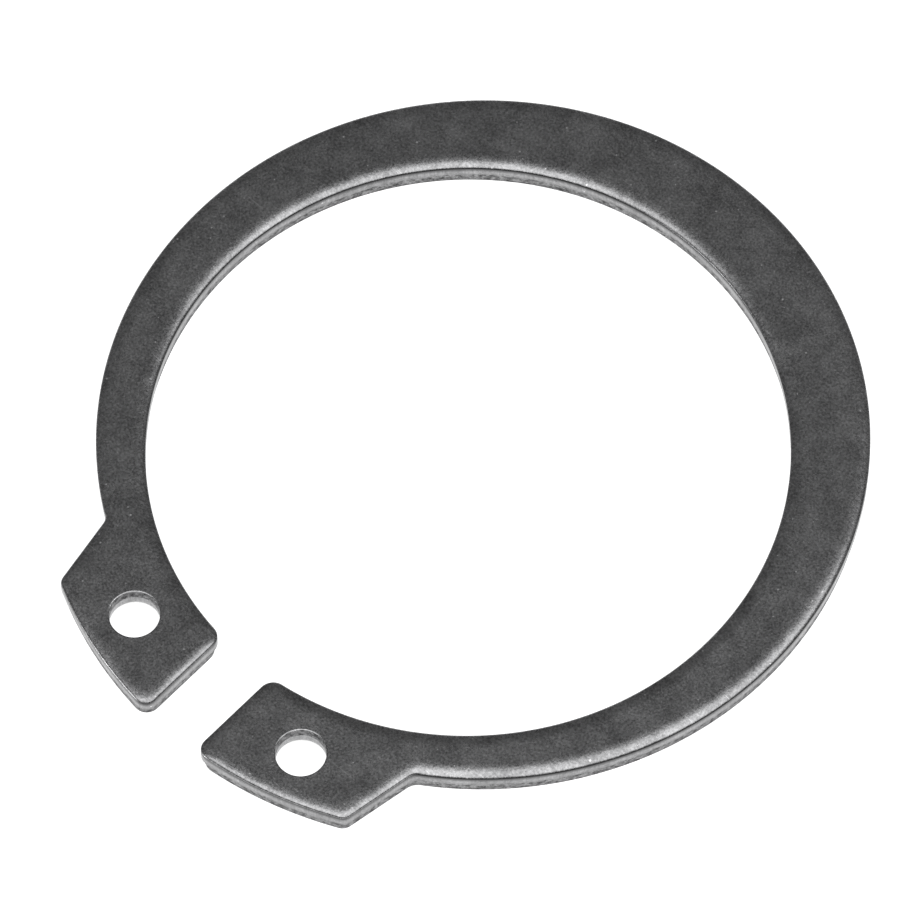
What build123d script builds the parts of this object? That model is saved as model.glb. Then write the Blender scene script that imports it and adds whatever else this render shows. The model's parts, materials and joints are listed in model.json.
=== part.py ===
from build123d import *
from math import cos, radians, sin, sqrt
import os

# External retaining ring: a one-piece clip of hardened spring steel, blanked from flat strip.
# An open ring, widest opposite its gap, ends in two lugs with holes for the tips of circlip
# pliers. Spread by the pliers, it is slid along a shaft and springs into a turned groove.
# The model is the ring in its free state, lying on its burr side.
#
# Frame: origin on the bore's axis, midway through the strip, so that it lies in the middle of
# the groove when the ring is fitted. +Z runs through the strip and the gap is towards -Y.
# Lengths are in mm and angles in degrees.

# Strip
strip_thickness = 1.5

# Ring body
bore_radius = 16.1          # free radius, smaller than the groove that it grips
widest_section = 4.33       # radial width opposite the gap
narrowest_section = 2.15    # radial width that the rim would reach at the gap

# Lugs
gap_width = 3.33
lug_height = 5.49           # radially, from the bore to the lug's outer edge
lug_width = 8.07            # from the gap to the lug's outer corner
shoulder_lean = 10.2        # of the lug's back edge, from the direction of the gap

# Plier holes
plier_hole_radius = 1.25
plier_hole_offset = 5.67    # from the middle of the gap
plier_hole_height = 2.89    # radially, from the bore

# Corner radii of the blanked outline
gap_bore_corner = 0.75
gap_lug_corner = 0.65
shoulder_corner = 0.6
neck_corner = 0.7

# Blanked edge, from the upper face down: die roll, burnished band, torn band, broken edge
roll_width = 0.75
roll_depth = 0.21
burnished_height = 0.55
torn_taper = 0.1            # the torn band leans in by this much at its foot
broken_edge = 0.05
corner_roll_spread = 0.5    # growth of the corner radii per mm that the roll runs in
roll_bands = 7              # straight bands that the roll's curve is drawn with

# Pierced edge of the plier holes, which are struck from the opposite side
hole_torn_height = 0.55     # from the upper face down
hole_torn_taper = 0.04
hole_roll = 0.55            # rounding of the hole's mouth in the lower face

# Derived sizes
rim_radius = bore_radius + (widest_section + narrowest_section) / 2
rim_centre = Vector(0, (widest_section - narrowest_section) / 2)
bore_centre = Vector(0, 0)
lug_reach = bore_radius + lug_height
upper_face = strip_thickness / 2
lower_face = -strip_thickness / 2
roll_start = upper_face - roll_depth
burnish_start = roll_start - burnished_height


def below(radius, x):
    """Point of a circle about the bore's axis, on the gap's side, at the given x."""
    return Vector(x, -sqrt(radius**2 - x**2))


def entry(start, heading, centre, radius):
    """Point where a line that runs into a circle first meets it."""
    offset = start - centre
    nearest = -offset.dot(heading)
    half_chord = sqrt(nearest**2 - offset.dot(offset) + radius**2)
    return start + heading * (nearest - half_chord)


def corners(inset):
    """Sharp corners of the right-hand lug, each with its radius, on the outline drawn in by inset."""
    gap_face = gap_width / 2 + inset
    heading = Vector(sin(radians(shoulder_lean)), cos(radians(shoulder_lean)))
    outer_corner = below(lug_reach, gap_width / 2 + lug_width)
    shoulder = outer_corner + heading.rotate(Axis.Z, 90) * inset
    grown = corner_roll_spread * inset
    return [
        (below(bore_radius + inset, gap_face), gap_bore_corner + grown),
        (below(lug_reach - inset, gap_face), gap_lug_corner + grown),
        (entry(shoulder, heading, bore_centre, lug_reach - inset), shoulder_corner + grown),
        (entry(shoulder, heading, rim_centre, rim_radius - inset), neck_corner + inset + grown),
    ]


def mirrored(point):
    """The same point on the left-hand lug."""
    return Vector(-point.X, point.Y)


def outline(inset, height):
    """Plan face of the ring, drawn in from the blanked edge by inset, at a height."""
    right = corners(inset)
    bore_end, gap_end, lug_end, neck = [point for point, _ in right]
    lug_middle = (gap_end + lug_end).normalized() * (lug_reach - inset)
    lug_edges = [
        Line(bore_end, gap_end),
        ThreePointArc(gap_end, lug_middle, lug_end),
        Line(lug_end, neck),
    ]
    rim_top = rim_centre + Vector(0, rim_radius - inset)
    bore_top = bore_centre + Vector(0, bore_radius + inset)
    face = make_face(
        lug_edges
        + [edge.mirror(Plane.YZ) for edge in lug_edges]
        + [ThreePointArc(neck, rim_top, mirrored(neck))]
        + [ThreePointArc(bore_end, bore_top, mirrored(bore_end))]
    )
    for point, radius in right:
        for corner in (point, mirrored(point)):
            face = fillet(face.vertices().sort_by_distance(corner)[:1], radius)
    return Pos(0, 0, height) * face


def die_roll():
    """Quarter-ellipse by which the upper face was drawn down along the blanked edge."""
    turns = [radians(90 * band / roll_bands) for band in range(roll_bands + 1)]
    return loft(
        [outline(roll_width * (1 - cos(turn)), roll_start + roll_depth * sin(turn)) for turn in turns],
        ruled=True,
    )


def torn_band():
    """Lower part of the blanked edge, where the strip tore away, down to the broken edge."""
    return loft(
        [
            outline(torn_taper + broken_edge, lower_face),
            outline(torn_taper, lower_face + broken_edge),
            outline(0, burnish_start),
        ],
        ruled=True,
    )


def plier_hole():
    """Pierced hole: rounded at its lower mouth, true for most of the wall, torn wider at the top."""
    torn = Cone(plier_hole_radius, plier_hole_radius + hole_torn_taper, hole_torn_height)
    torn = Pos(0, 0, upper_face - hole_torn_height / 2) * torn
    return Cylinder(plier_hole_radius, strip_thickness) + torn


def retaining_ring():
    """The whole clip: blanked body, less the two plier holes."""
    burnished_band = extrude(outline(0, burnish_start), burnished_height)
    body = torn_band() + burnished_band + die_roll()
    hole_place = below(bore_radius + plier_hole_height, plier_hole_offset)
    for place in (hole_place, mirrored(hole_place)):
        body -= Pos(place.X, place.Y) * plier_hole()
    lower_mouths = body.edges().filter_by(GeomType.CIRCLE).group_by(Axis.Z)[0]
    lower_mouths = lower_mouths.filter_by(lambda edge: edge.is_closed)
    return fillet(lower_mouths, hole_roll)


os.makedirs("parts", exist_ok=True)
export_step(retaining_ring(), "parts/retaining_ring.step")
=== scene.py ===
# %% [markdown]
# # Dressing a retaining ring
# A retaining ring is one flat piece of spring steel, blanked from strip by a punch and a die. In
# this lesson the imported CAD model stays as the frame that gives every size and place, and Blender
# makes the piece that is seen: the same ring with the fine form of its blanked edge, and with the
# finish of phosphated spring steel.

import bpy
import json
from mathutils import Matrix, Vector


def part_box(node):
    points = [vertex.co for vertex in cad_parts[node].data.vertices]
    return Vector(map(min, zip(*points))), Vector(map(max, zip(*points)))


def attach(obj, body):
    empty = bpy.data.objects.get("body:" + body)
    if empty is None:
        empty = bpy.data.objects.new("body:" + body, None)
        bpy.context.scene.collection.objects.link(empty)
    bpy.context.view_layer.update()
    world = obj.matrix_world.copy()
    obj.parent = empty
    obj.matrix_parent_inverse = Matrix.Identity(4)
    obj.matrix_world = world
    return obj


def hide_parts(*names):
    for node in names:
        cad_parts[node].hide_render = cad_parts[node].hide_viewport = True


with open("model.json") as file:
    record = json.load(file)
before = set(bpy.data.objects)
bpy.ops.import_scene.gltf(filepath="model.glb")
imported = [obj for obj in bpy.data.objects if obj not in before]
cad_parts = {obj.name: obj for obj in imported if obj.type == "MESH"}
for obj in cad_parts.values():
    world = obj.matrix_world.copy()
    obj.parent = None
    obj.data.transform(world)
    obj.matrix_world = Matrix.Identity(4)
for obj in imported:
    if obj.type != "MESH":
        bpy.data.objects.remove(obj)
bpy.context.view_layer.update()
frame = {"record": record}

# %% Other imports
import json
import math

import bmesh
import bpy
from mathutils import Matrix, Vector

# %% [markdown]
# ## Sizes
# The frame gives the sizes that it can: the ring lies with the middle of its bore at the origin,
# the CAD box gives the rim's radius and the strip's thickness, and the record's mounts give the
# bore and the plier holes. The rest are the ring's own driving sizes, written once here. Blender
# works in metres, so they are in MM.

# %% Sizes from the frame
MM = 0.001
TOUCH = 0.001 * MM  # what lies nearer than this is in the same place
mounts = {mount["name"]: mount for mount in frame["record"]["mounts"]}
ring_low, ring_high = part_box("retaining_ring")
bore_radius = mounts["shaft_bore"]["dims"]["r_mm"] * MM
rim_radius = ring_high.x
rim_centre = Vector((0, ring_high.y - rim_radius, 0))
upper_face, lower_face = ring_high.z, ring_low.z
holes = []
for side in ("right", "left"):
    mount = mounts[f"plier_hole_{side}"]
    holes.append((Vector(mount["pos_m"]), mount["dims"]["r_mm"] * MM))
print("bore", bore_radius / MM, "mm, rim", round(rim_radius / MM, 3), "mm")
print("the rim's centre is", round(rim_centre.y / MM, 3), "mm off the bore's,", len(holes), "holes")

# %% Sizes of the lugs and of the outline's corners
gap_width = 3.33 * MM
lug_reach = bore_radius + 5.49 * MM
lug_width = 8.07 * MM
shoulder_lean = math.radians(10.2)
gap_bore_corner = 0.75 * MM
gap_lug_corner = 0.65 * MM
shoulder_corner = 0.6 * MM
neck_corner = 0.7 * MM

# %% Sizes of the blanked edge
roll_width = 0.75 * MM
roll_depth = 0.21 * MM
burnished_height = 0.55 * MM
torn_taper = 0.1 * MM
broken_edge = 0.05 * MM
corner_roll_spread = 0.5  # growth of a corner's radius for each mm that the roll runs in
lug_roll_width = 0.75 * MM
lug_roll_fullness = 1.6  # above 1, the roll is fuller and drops nearer to the edge
roll_start = upper_face - roll_depth
burnish_start = roll_start - burnished_height
print("from the lower face, torn", round((burnish_start - lower_face) / MM, 3), "mm, burnished",
      burnished_height / MM, "mm, rolled", roll_depth / MM, "mm")

# %% [markdown]
# ## Drawing the outline with spins
# The plan of the ring is arcs and straight lines that meet smoothly. It could be cut from discs
# with booleans, but then every corner would need repair. Here the outline is drawn as a pen would
# draw it: one vertex is spun about the centre of each arc and extruded along each straight, so
# all arcs are true, and every outline has the same number of vertices, which makes it easy to
# join one to the next. Only the right half is drawn.

# %% Points of the outline's arcs
def below(radius, x):
    """Point of a circle about the bore's axis, on the gap's side, at the given x."""
    return Vector((x, -math.sqrt(radius**2 - x**2), 0))


def entry(start, heading, centre, radius):
    """Point where a line that runs into a circle first meets it."""
    offset = start - centre
    nearest = -offset.dot(heading)
    half_chord = math.sqrt(nearest**2 - offset.length_squared + radius**2)
    return start + heading * (nearest - half_chord)


def towards(centre, through, radius):
    """Point of a circle on the line from its centre through another point."""
    return centre + (through - centre).normalized() * radius


# %% The strokes of the half outline
CLOCKWISE, COUNTER, STRAIGHT = 1, -1, 0
RING_STEPS = 300
LUG_EDGE_STEPS = 40
GAP_STEPS = 24
SHOULDER_STEPS = 18
CORNER_STEPS = 8
LUG_CORNER_STEPS = 10


def strokes(inset, lug_inset):
    """The half outline, drawn in by two insets, from the bore's top round the lug to the rim's.

    Each stroke is its end, the centre that it turns about, its turn and its number of steps.
    """
    origin = Vector((0, 0, 0))
    grown = corner_roll_spread * inset
    bore, rim, reach = bore_radius + inset, rim_radius - inset, lug_reach - lug_inset
    gap = gap_width / 2 + lug_inset
    heading = Vector((math.sin(shoulder_lean), math.cos(shoulder_lean), 0))
    inward = Vector((-heading.y, heading.x, 0))
    shoulder = below(lug_reach, gap_width / 2 + lug_width) + inward * lug_inset

    bore_round = gap_bore_corner + grown
    gap_bore_centre = below(bore + bore_round, gap + bore_round)
    lug_round = gap_lug_corner + grown
    gap_lug_centre = below(reach - lug_round, gap + lug_round)
    shoulder_round = shoulder_corner + grown
    shoulder_centre = entry(shoulder + inward * shoulder_round, heading, origin, reach - shoulder_round)
    neck_round = neck_corner + inset + grown
    neck_centre = entry(shoulder - inward * neck_round, heading, rim_centre, rim + neck_round)
    return [
        (towards(origin, gap_bore_centre, bore), origin, CLOCKWISE, RING_STEPS),
        (Vector((gap, gap_bore_centre.y, 0)), gap_bore_centre, COUNTER, CORNER_STEPS),
        (Vector((gap, gap_lug_centre.y, 0)), None, STRAIGHT, GAP_STEPS),
        (towards(origin, gap_lug_centre, reach), gap_lug_centre, COUNTER, LUG_CORNER_STEPS),
        (towards(origin, shoulder_centre, reach), origin, COUNTER, LUG_EDGE_STEPS),
        (shoulder_centre - inward * shoulder_round, shoulder_centre, COUNTER, CORNER_STEPS),
        (neck_centre + inward * neck_round, None, STRAIGHT, SHOULDER_STEPS),
        (towards(rim_centre, neck_centre, rim), neck_centre, CLOCKWISE, CORNER_STEPS),
        (rim_centre + Vector((0, rim, 0)), rim_centre, COUNTER, RING_STEPS),
    ]


# %% A helper that starts an object
def start_object(name):
    """A new, empty mesh object, selected alone and in edit mode."""
    bpy.ops.object.select_all(action="DESELECT")
    bpy.ops.mesh.primitive_plane_add(size=MM)
    made = bpy.context.object
    made.name = made.data.name = name
    bpy.ops.object.mode_set(mode="EDIT")
    bpy.ops.mesh.select_mode(type="VERT")
    bpy.ops.mesh.delete(type="VERT")
    return made


# %% The pen
PEN_POINT = 0.01 * MM  # a plane this small is merged to one vertex


def swept(start, end, centre, turn):
    """Angle from start to end about a centre, in the direction of the turn."""
    a, b = start - centre, end - centre
    counter = math.atan2(a.x * b.y - a.y * b.x, a.x * b.x + a.y * b.y)
    return (-turn * counter) % (2 * math.pi)


def put_down_pen(place):
    """One new vertex, in the object that is being edited."""
    bpy.ops.mesh.primitive_plane_add(size=PEN_POINT, location=place)
    bpy.ops.mesh.merge(type="CENTER")


def draw_half_outline(inset, lug_inset, height):
    """Draws the half outline as a new object, from a vertex at the bore's top, stroke by stroke."""
    lift = Vector((0, 0, height))
    pen = Vector((0, bore_radius + inset, 0))
    line = start_object("outline")
    put_down_pen(pen + lift)
    for end, centre, turn, steps in strokes(inset, lug_inset):
        if turn == STRAIGHT:
            bpy.ops.mesh.extrude_repeat(steps=steps, offset=(end - pen) / steps)
        else:
            angle = turn * swept(pen, end, centre, turn)
            bpy.ops.mesh.spin(steps=steps, angle=angle, center=centre + lift, axis=(0, 0, 1))
        pen = end
    bpy.ops.object.mode_set(mode="OBJECT")
    return line


print(sum(steps for *_, steps in strokes(0, 0)) + 1, "vertices in each half outline")

# %% [markdown]
# ## The levels of the blanked edge
# A punch leaves four bands on the edge of a blank. The upper face is first drawn down in a smooth
# roll, then the steel is sheared and burnished by the die, then it tears, and last comes the
# broken lower edge. Each band is a few outlines, each with its own inset and height. The roll is
# a quarter of an ellipse, fuller on the lugs, with its outlines closest together where it is
# steepest. A last outline lies flat on the face, so that its shading stays flat.

# %% Insets and heights, from the lower face up
ROLL_STEPS = 14
ROLL_CROWDING = 1.3  # above 1, the outlines crowd where the roll is steep
TORN_ROWS = 6
lower_margin = 0.1 * MM
upper_margin = 0.08 * MM
broken_round = 0.3 * broken_edge  # rounds the broken edge a little
torn_foot = lower_face + broken_edge

edge_levels = [
    (torn_taper + broken_edge + lower_margin, lower_face),
    (torn_taper + broken_edge, lower_face),
    (torn_taper + broken_round, lower_face + broken_round),
]
for row in range(TORN_ROWS):
    share = row / TORN_ROWS
    edge_levels.append((torn_taper * (1 - share), torn_foot + (burnish_start - torn_foot) * share))
edge_levels += [(0, burnish_start), (0, (burnish_start + roll_start) / 2)]

levels = [(inset, inset, height) for inset, height in edge_levels]
for step in range(ROLL_STEPS + 1):
    turn = math.radians(90) * (step / ROLL_STEPS) ** ROLL_CROWDING
    drawn_in = 1 - math.cos(turn)
    lug_inset = lug_roll_width * drawn_in**lug_roll_fullness
    levels.append((roll_width * drawn_in, lug_inset, roll_start + roll_depth * math.sin(turn)))
levels.append((roll_width + upper_margin, lug_roll_width + upper_margin, upper_face))
print(len(levels), "outlines")


# %% A helper that selects one outline and the last
def select_range(made, first, last):
    """Selects the vertices from one index up to another, and the edges between them."""
    form = bmesh.from_edit_mesh(made.data)
    form.verts.ensure_lookup_table()
    for vertex in form.verts:
        vertex.select_set(first <= vertex.index < last)
    form.select_flush_mode()
    bmesh.update_edit_mesh(made.data)


# %% Draw the outlines and bridge each to the last
ring = draw_half_outline(*levels[0])
ring.name = ring.data.name = "stamped_ring"
drawn = [0, len(ring.data.vertices)]
for level in levels[1:]:
    line = draw_half_outline(*level)
    bpy.ops.object.select_all(action="DESELECT")
    line.select_set(True)
    ring.select_set(True)
    bpy.context.view_layer.objects.active = ring
    bpy.ops.object.join()
    drawn.append(len(ring.data.vertices))
    bpy.ops.object.mode_set(mode="EDIT")
    select_range(ring, drawn[-3], drawn[-1])
    bpy.ops.mesh.bridge_edge_loops()
    bpy.ops.object.mode_set(mode="OBJECT")
print("half skin:", len(ring.data.vertices), "vertices,", len(ring.data.polygons), "faces")


# %% A helper that adds a modifier and applies it
def apply_modifier(made, kind, **settings):
    """Adds a modifier with its settings and applies it."""
    bpy.context.view_layer.objects.active = made
    modifier = made.modifiers.new(kind.lower(), kind)
    for name, value in settings.items():
        setattr(modifier, name, value)
    bpy.ops.object.modifier_apply(modifier=modifier.name)


# %% Mirror the half and close both faces
apply_modifier(
    ring, "MIRROR", use_axis=(True, False, False), use_mirror_merge=True, merge_threshold=TOUCH
)
bpy.ops.object.mode_set(mode="EDIT")
bpy.ops.mesh.select_mode(type="EDGE")
for height in (lower_face, upper_face):
    bpy.ops.mesh.select_all(action="DESELECT")
    form = bmesh.from_edit_mesh(ring.data)
    for edge in form.edges:
        level = all(abs(vertex.co.z - height) < TOUCH for vertex in edge.verts)
        edge.select_set(level and edge.is_boundary)
    bmesh.update_edit_mesh(ring.data)
    bpy.ops.mesh.edge_face_add()
bpy.ops.mesh.select_all(action="SELECT")
bpy.ops.mesh.normals_make_consistent(inside=False)
bpy.ops.object.mode_set(mode="OBJECT")
print("closed skin:", len(ring.data.vertices), "vertices,", len(ring.data.polygons), "faces")

# %% [markdown]
# ## The plier holes
# The two holes are pierced from the other side, so they are sharp where they meet the upper face
# and rounded at the lower one. Each is cut with a boolean: the cutter is a spun profile, as true
# as a turned punch.

# %% Sizes of a hole's wall
hole_torn_height = 0.55 * MM
hole_torn_taper = 0.04 * MM
mouth_width = 0.45 * MM
mouth_depth = 0.7 * MM
rim_depth = 0.03 * MM
tear_step = 0.03 * MM  # height of the step from the smooth wall to the torn one
tear_start = upper_face - hole_torn_height
MOUTH_STEPS = 10
HOLE_STEPS = 96


# %% The punch's profile
def punch_profile(radius):
    """The hole's wall as (reach, height), from below the lower face to above the upper one."""
    points = [(radius + mouth_width, lower_face - mouth_width), (radius + mouth_width, lower_face)]
    for step in range(1, MOUTH_STEPS + 1):
        turn = math.radians(90 * step / MOUTH_STEPS)
        reach = radius + mouth_width * (1 - math.sin(turn))
        points.append((reach, lower_face + mouth_depth * (1 - math.cos(turn))))
    points.append((radius, tear_start))
    points.append((radius, tear_start + tear_step))
    points.append((radius + 0.5 * hole_torn_taper, upper_face - rim_depth))
    points.append((radius + hole_torn_taper, upper_face - 0.5 * rim_depth))
    points.append((radius + 2 * hole_torn_taper, upper_face))
    points.append((radius + 2 * hole_torn_taper, upper_face + mouth_width))
    return points


# %% Spin each punch and cut its hole
for centre, radius in holes:
    profile = punch_profile(radius)
    punch = start_object("punch")
    pen = Vector((centre.x + profile[0][0], centre.y, profile[0][1]))
    put_down_pen(pen)
    for reach, height in profile[1:]:
        end = Vector((centre.x + reach, centre.y, height))
        bpy.ops.mesh.extrude_vertices_move(TRANSFORM_OT_translate={"value": end - pen})
        pen = end
    bpy.ops.mesh.select_all(action="SELECT")
    bpy.ops.mesh.spin(steps=HOLE_STEPS, angle=2 * math.pi, center=centre, axis=(0, 0, 1))
    bpy.ops.mesh.select_all(action="SELECT")
    bpy.ops.mesh.remove_doubles(threshold=0.5 * TOUCH)
    bpy.ops.mesh.select_mode(type="EDGE")
    bpy.ops.mesh.select_non_manifold()
    bpy.ops.mesh.edge_face_add()
    bpy.ops.mesh.select_all(action="SELECT")
    bpy.ops.mesh.normals_make_consistent(inside=False)
    bpy.ops.object.mode_set(mode="OBJECT")
    print("punch:", len(punch.data.vertices), "vertices,", len(punch.data.polygons), "faces")
    apply_modifier(ring, "BOOLEAN", object=punch, operation="DIFFERENCE", solver="EXACT")
    bpy.data.objects.remove(punch)
print("pierced ring:", len(ring.data.vertices), "vertices,", len(ring.data.polygons), "faces")

# %% [markdown]
# ## The torn band
# Below the burnished band the steel didn't cut, it tore. The band is dull and grainy, and its
# upper border wanders along the edge. Bump alone would leave a clean line in the silhouette, so
# the grain is real: a Displace modifier with a procedural texture, held to this band by a vertex
# group. First one moves the border up and down, then another bites into the steel. It only bites
# inwards, so the ring keeps its size.

# %% A helper that finds the vertices of one band
lug_hole_zone = 2 * MM  # the blanked edge lies further than this from the middle of a hole
level_slack = 0.01 * MM


def edge_vertices(made, low, high):
    """Vertices of the blanked edge between two heights."""
    found = []
    for vertex in made.data.vertices:
        clear = all((vertex.co.xy - centre.xy).length > lug_hole_zone for centre, _ in holes)
        if clear and low <= vertex.co.z <= high:
            found.append(vertex.index)
    return found


# %% Vertex groups that hold the displacement to the torn band
row_height = (burnish_start - torn_foot) / TORN_ROWS
last_row = burnish_start - 0.5 * row_height
torn = edge_vertices(ring, lower_face + 0.5 * broken_edge, last_row)
border = edge_vertices(ring, last_row, burnish_start + level_slack)
below_border = edge_vertices(ring, last_row - row_height, last_row)
grain_group = ring.vertex_groups.new(name="torn_grain")
grain_group.add(torn, 1, "REPLACE")
border_group = ring.vertex_groups.new(name="torn_border")
border_group.add(border, 1, "REPLACE")
border_group.add(below_border, 0.5, "REPLACE")
print(len(torn), "torn vertices,", len(border), "on the border")

# %% Attributes that tell the material where the steel is torn, and where the roll ends, so a dark line of painted shade goes there
border_share = 0.4
painted_dark_line_height = 0.3 * roll_depth
torn_share = ring.data.attributes.new("torn_share", "FLOAT", "POINT")
for index in torn:
    torn_share.data[index].value = 1
for index in border:
    torn_share.data[index].value = border_share
for vertex in ring.data.vertices:
    for centre, radius in holes:
        on_wall = (vertex.co.xy - centre.xy).length - radius < 0.6 * hole_torn_taper
        if on_wall and vertex.co.z > tear_start + 0.5 * tear_step:
            torn_share.data[vertex.index].value = 1
# painted_dark_line_share marks the foot of the roll, where the material paints a dark line of shade
painted_dark_line_share = ring.data.attributes.new("painted_dark_line_share", "FLOAT", "POINT")
line = edge_vertices(ring, roll_start - level_slack, roll_start + painted_dark_line_height)
for index in line:
    painted_dark_line_share.data[index].value = 1
print(len(line), "vertices where the roll ends")

# %% Displace the border, then the grain
wander_length, wander_height = 1.1 * MM, 0.3 * MM
grain_size, grain_depth = 0.2 * MM, 0.06 * MM


def cloud_texture(name, size, depth):
    """Procedural clouds of a size, with a number of finer layers."""
    texture = bpy.data.textures.new(name, "CLOUDS")
    texture.noise_scale = size
    texture.noise_depth = depth
    return texture


apply_modifier(
    ring, "DISPLACE", texture=cloud_texture("border_wander", wander_length, 3),
    vertex_group="torn_border", direction="Z", texture_coords="LOCAL", mid_level=0.5,
    strength=wander_height,
)
apply_modifier(
    ring, "DISPLACE", texture=cloud_texture("torn_grain", grain_size, 2),
    vertex_group="torn_grain", direction="NORMAL", texture_coords="LOCAL", mid_level=1,
    strength=grain_depth,
)

# %% Smooth shading, with the upper face kept flat up to the rims of the holes
SMOOTH_UP_TO = math.radians(35)
bpy.ops.object.select_all(action="DESELECT")
ring.select_set(True)
bpy.context.view_layer.objects.active = ring
bpy.ops.object.shade_smooth_by_angle(angle=SMOOTH_UP_TO)
rim_edges = 0
for edge in ring.data.edges:
    ends = [ring.data.vertices[index].co for index in edge.vertices]
    on_face = all(abs(end.z - upper_face) < TOUCH for end in ends)
    at_rim = any(
        all((end.xy - centre.xy).length < radius + 3 * hole_torn_taper for end in ends)
        for centre, radius in holes
    )
    if on_face and at_rim:
        edge.use_edge_sharp = True
        rim_edges += 1
print(rim_edges, "edges kept sharp around the holes")

# %% [markdown]
# ## Phosphated spring steel
# The ring is oil-hardened carbon spring steel, dipped for a thin phosphate coat and sealed with
# oil. To the eye it is still a metal, but a dark one: the crystals scatter the light, so its
# shine is broad and soft, and where they are rubbed through it shows fine lighter specks. A
# picture of such a coat could be wrapped round the ring. Noise textures on the object's own
# coordinates are better here, since they have no seams and their sizes are real ones.

# %% Colour and node helpers
def linear(hex_colour):
    """Linear RGBA of an sRGB hex colour."""
    channels = [int(hex_colour[i : i + 2], 16) / 255 for i in (1, 3, 5)]
    return [c / 12.92 if c <= 0.04045 else ((c + 0.055) / 1.055) ** 2.4 for c in channels] + [1]


def add_node(tree, kind, settings=None, inputs=None):
    """Adds a node, with its settings, and its inputs as values or as sockets to link from."""
    node = tree.nodes.new(kind)
    for name, value in (settings or {}).items():
        setattr(node, name, value)
    for name, value in (inputs or {}).items():
        if isinstance(value, bpy.types.NodeSocket):
            tree.links.new(value, node.inputs[name])
        else:
            node.inputs[name].default_value = value
    return node


def new_material(name):
    made = bpy.data.materials.new(name)
    made.use_nodes = True
    made.node_tree.nodes.clear()
    return made


# %% The steel, the sizes of its patterns and where they go
CRYSTAL = 0.11 * MM  # phosphate crystals, really about 0.01 mm: drawn coarser, so that they show
BLOTCH = 1.3 * MM  # patches where the coat took the oil differently
SPECK = 0.42 * MM  # spacing of the specks
HAIR = 0.07 * MM  # width of a scratch, really about 0.02 mm: drawn coarser too
STREAK = 0.12 * MM  # spacing of the draw streaks, many times as long as they are wide
TEAR = 0.3 * MM  # grain of the torn steel
steel = new_material("phosphated_spring_steel")
tree = steel.node_tree
place = add_node(tree, "ShaderNodeTexCoord").outputs["Object"]
torn_at = add_node(tree, "ShaderNodeAttribute", {"attribute_name": "torn_share"}).outputs["Fac"]
# painted_dark_line_share tells where the dark line of painted shade goes
painted_dark_line_at = add_node(tree, "ShaderNodeAttribute", {"attribute_name": "painted_dark_line_share"}).outputs["Fac"]

# %% Its mottled coat
crystals = add_node(
    tree, "ShaderNodeTexNoise",
    inputs={"Vector": place, "Scale": 1 / CRYSTAL, "Detail": 3, "Roughness": 0.65},
).outputs["Fac"]
blotches = add_node(
    tree, "ShaderNodeTexNoise",
    inputs={"Vector": place, "Scale": 1 / BLOTCH, "Detail": 4, "Roughness": 0.6},
).outputs["Fac"]
fine = add_node(tree, "ShaderNodeMath", {"operation": "MULTIPLY"}, {0: crystals, 1: 0.55}).outputs[0]
mottle = add_node(
    tree, "ShaderNodeMath", {"operation": "MULTIPLY_ADD"}, {0: blotches, 1: 0.45, 2: fine}
).outputs[0]
coat = add_node(tree, "ShaderNodeValToRGB", inputs={"Fac": mottle})
coat.color_ramp.elements[0].position = 0.36
coat.color_ramp.elements[0].color = linear("#6a6a6b")
coat.color_ramp.elements[1].position = 0.64
coat.color_ramp.elements[1].color = linear("#9d9d9e")

# %% Bright specks, where the coat is rubbed through
speck_cells = add_node(
    tree, "ShaderNodeTexVoronoi", {"feature": "F1"}, {"Vector": place, "Scale": 1 / SPECK, "Randomness": 1}
)
speck_size = add_node(
    tree, "ShaderNodeSeparateColor", inputs={"Color": speck_cells.outputs["Color"]}
).outputs["Red"]
speck_reach = add_node(
    tree, "ShaderNodeMapRange",
    inputs={"Value": speck_size, "From Min": 0.6, "From Max": 1, "To Min": 0, "To Max": 0.14},
).outputs["Result"]
specks = add_node(
    tree, "ShaderNodeMath", {"operation": "LESS_THAN"}, {0: speck_cells.outputs["Distance"], 1: speck_reach}
).outputs[0]
rubbed = add_node(
    tree, "ShaderNodeMix", {"data_type": "RGBA"},
    {"Factor": specks, 6: coat.outputs["Color"], 7: linear("#d4d4d5")},
).outputs[2]

# %% A few hairline scratches, from the rings rubbing on each other in the box
scratched = rubbed
for angle, length, offset in ((25, 2.2, 0.3), (-40, 1.6, 0.7), (75, 2.8, 0.1)):
    lay = add_node(
        tree, "ShaderNodeMapping", inputs={
            "Vector": place, "Rotation": (0, 0, math.radians(angle)), "Location": (offset, offset, 0),
            "Scale": (1 / (length * MM), 1 / HAIR, 1 / MM),
        },
    ).outputs["Vector"]
    hair = add_node(
        tree, "ShaderNodeTexNoise", inputs={"Vector": lay, "Scale": 1, "Detail": 1, "Roughness": 0.4}
    ).outputs["Fac"]
    shown = add_node(
        tree, "ShaderNodeMapRange",
        inputs={"Value": hair, "From Min": 0.76, "From Max": 0.82, "To Min": 0, "To Max": 0.55},
    ).outputs["Result"]
    scratched = add_node(
        tree, "ShaderNodeMix", {"data_type": "RGBA"}, {"Factor": shown, 6: scratched, 7: linear("#cccccd")}
    ).outputs[2]

# %% Draw streaks, upright on the burnished band
upright = add_node(
    tree, "ShaderNodeMapping", inputs={"Vector": place, "Scale": (1 / STREAK, 1 / STREAK, 0.12 / STREAK)}
).outputs["Vector"]
draws = add_node(
    tree, "ShaderNodeTexNoise", inputs={"Vector": upright, "Scale": 1, "Detail": 2, "Roughness": 0.6}
).outputs["Fac"]
draw_shade = add_node(
    tree, "ShaderNodeMapRange",
    inputs={"Value": draws, "From Min": 0.35, "From Max": 0.65, "To Min": 0.8, "To Max": 1.12},
).outputs["Result"]
streaked = add_node(
    tree, "ShaderNodeVectorMath", {"operation": "SCALE"}, {0: scratched, "Scale": draw_shade}
).outputs[0]

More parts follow.
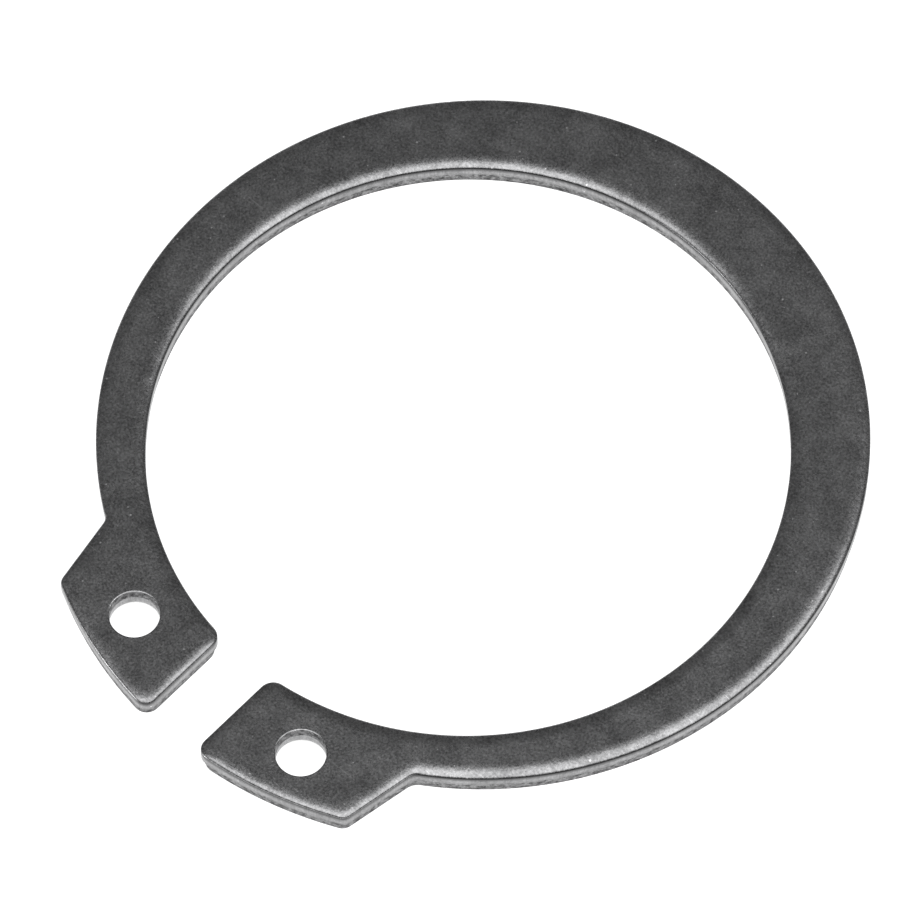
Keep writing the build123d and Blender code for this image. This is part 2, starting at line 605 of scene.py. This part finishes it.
# %% Painted shade: a crisp dark line where the roll ends and the burnished band starts, for the dark reflection of the steep roll
# The base colour is darkened here as painted shade, not as a colour of the steel
with_painted_dark_line = add_node(
    tree, "ShaderNodeMix", {"data_type": "RGBA"},
    {"Factor": painted_dark_line_at, 6: streaked, 7: linear("#363637")},
).outputs[2]

# %% The torn band
tears = add_node(
    tree, "ShaderNodeTexNoise",
    inputs={"Vector": place, "Scale": 1 / TEAR, "Detail": 5, "Roughness": 0.75},
).outputs["Fac"]
torn_ramp = add_node(tree, "ShaderNodeValToRGB", inputs={"Fac": tears})
torn_ramp.color_ramp.elements[0].position = 0.4
torn_ramp.color_ramp.elements[0].color = linear("#2b2b2c")
torn_ramp.color_ramp.elements[1].position = 0.62
torn_ramp.color_ramp.elements[1].color = linear("#9a9a9b")
colour = add_node(
    tree, "ShaderNodeMix", {"data_type": "RGBA"},
    {"Factor": torn_at, 6: with_painted_dark_line, 7: torn_ramp.outputs["Color"]},
).outputs[2]

# %% Gloss and relief
soft_gloss = add_node(
    tree, "ShaderNodeMapRange",
    inputs={"Value": crystals, "From Min": 0.3, "From Max": 0.7, "To Min": 0.24, "To Max": 0.32},
).outputs["Result"]
gloss = add_node(
    tree, "ShaderNodeMix", {"data_type": "FLOAT"}, {"Factor": torn_at, 2: soft_gloss, 3: 0.55}
).outputs[0]
relief = add_node(
    tree, "ShaderNodeBump", inputs={"Height": crystals, "Distance": 0.005 * MM, "Strength": 1}
).outputs["Normal"]
torn_relief = add_node(
    tree, "ShaderNodeBump",
    inputs={"Height": tears, "Distance": 0.06 * MM, "Strength": torn_at, "Normal": relief},
).outputs["Normal"]
surface = add_node(
    tree, "ShaderNodeBsdfPrincipled",
    inputs={"Base Color": colour, "Roughness": gloss, "Normal": torn_relief, "Metallic": 1},
)
add_node(tree, "ShaderNodeOutputMaterial", inputs={"Surface": surface.outputs["BSDF"]})
ring.data.materials.clear()
ring.data.materials.append(steel)
print(len(tree.nodes), "nodes in", steel.name)

# %% [markdown]
# ## Floor, light and camera
# The floor is a plate of opal acrylic that is lit from below, as on a table for product shots, so
# it stays nearly white under the ring. One large soft box hangs overhead, and a small one stands
# low in front, to pick out the edge. The room around them is dim, because a metal shows whatever
# it reflects: in a bright room it looks pale.

# %% Floor, opal acrylic: cast sheet with a fine matt face, so it gives no reflections, only a glow
FLOOR_SIZE = 3
FLOOR_GLOW = 0.75
floor_clearance = 0.01 * MM
bpy.ops.object.select_all(action="DESELECT")
bpy.ops.mesh.primitive_plane_add(size=FLOOR_SIZE, location=(0, 0, lower_face - floor_clearance))
floor = bpy.context.object
floor.name = "floor"
acrylic = new_material("lit_opal_acrylic")
tree = acrylic.node_tree
surface = add_node(
    tree, "ShaderNodeBsdfPrincipled",
    inputs={
        "Base Color": linear("#e6e6e6"), "Roughness": 0.6,
        "Emission Color": linear("#ffffff"), "Emission Strength": FLOOR_GLOW,
    },
)
add_node(tree, "ShaderNodeOutputMaterial", inputs={"Surface": surface.outputs["BSDF"]})
floor.data.materials.append(acrylic)

# %% Soft boxes
def aimed(position, target, roll=0):
    """Rotation that points an object's -Z from its position to a target, with its own Y upwards."""
    turn = (target - position).to_track_quat("-Z", "Y").to_matrix()
    return (turn @ Matrix.Rotation(roll, 3, "Z")).to_euler()


def direction(azimuth, elevation):
    """Unit vector towards an azimuth, counted from -Y towards +X, and an elevation, in degrees."""
    a, e = math.radians(azimuth), math.radians(elevation)
    return Vector((math.sin(a) * math.cos(e), -math.cos(a) * math.cos(e), math.sin(e)))


middle = Vector((-0.2025, -0.5267, 0)) * MM  # of the view, where the camera and lights are aimed
BOX_DISTANCE = 0.85


def add_soft_box(name, width, height, radiance, towards_it, turn):
    """A rectangle of light that faces the ring. Its energy follows from its size and radiance."""
    light = bpy.data.lights.new(name, "AREA")
    light.shape = "RECTANGLE"
    light.size, light.size_y = width, height
    light.energy = radiance * math.pi * width * height
    made = bpy.data.objects.new(name, light)
    made.location = middle + towards_it * BOX_DISTANCE
    made.rotation_euler = aimed(made.location, middle, math.radians(turn))
    made.visible_camera = False
    bpy.context.scene.collection.objects.link(made)
    return made


add_soft_box("overhead_box", 1.3, 0.78, 2.5, direction(69, 76), -17)
add_soft_box("low_strip", 0.34, 0.22, 10, direction(-29, 13), 0)

# %% The dim room
ROOM_RADIANCE = 0.215
room = bpy.data.worlds.new("dim_room")
bpy.context.scene.world = room
room.use_nodes = True
room.node_tree.nodes["Background"].inputs["Color"].default_value = linear("#ffffff")
room.node_tree.nodes["Background"].inputs["Strength"].default_value = ROOM_RADIANCE

# %% Camera, far off with a long lens, as small parts are shot
CAMERA_DISTANCE = 0.5492
CAMERA_ROLL = -1.207
SENSOR_WIDTH_MM = 36
LENS_MM = 432.3
FARTHEST_SEEN = 10
camera = bpy.data.objects.new("camera", bpy.data.cameras.new("camera"))
camera.location = middle + direction(44.094, 61.424) * CAMERA_DISTANCE
camera.rotation_euler = aimed(camera.location, middle, math.radians(CAMERA_ROLL))
camera.data.sensor_width = SENSOR_WIDTH_MM
camera.data.lens = LENS_MM
camera.data.clip_end = FARTHEST_SEEN
bpy.context.scene.collection.objects.link(camera)
bpy.context.scene.camera = camera
bpy.context.scene.view_settings.view_transform = "Standard"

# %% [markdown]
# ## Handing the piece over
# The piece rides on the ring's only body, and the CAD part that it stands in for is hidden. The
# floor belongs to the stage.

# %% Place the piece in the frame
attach(ring, "root")
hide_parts("retaining_ring")
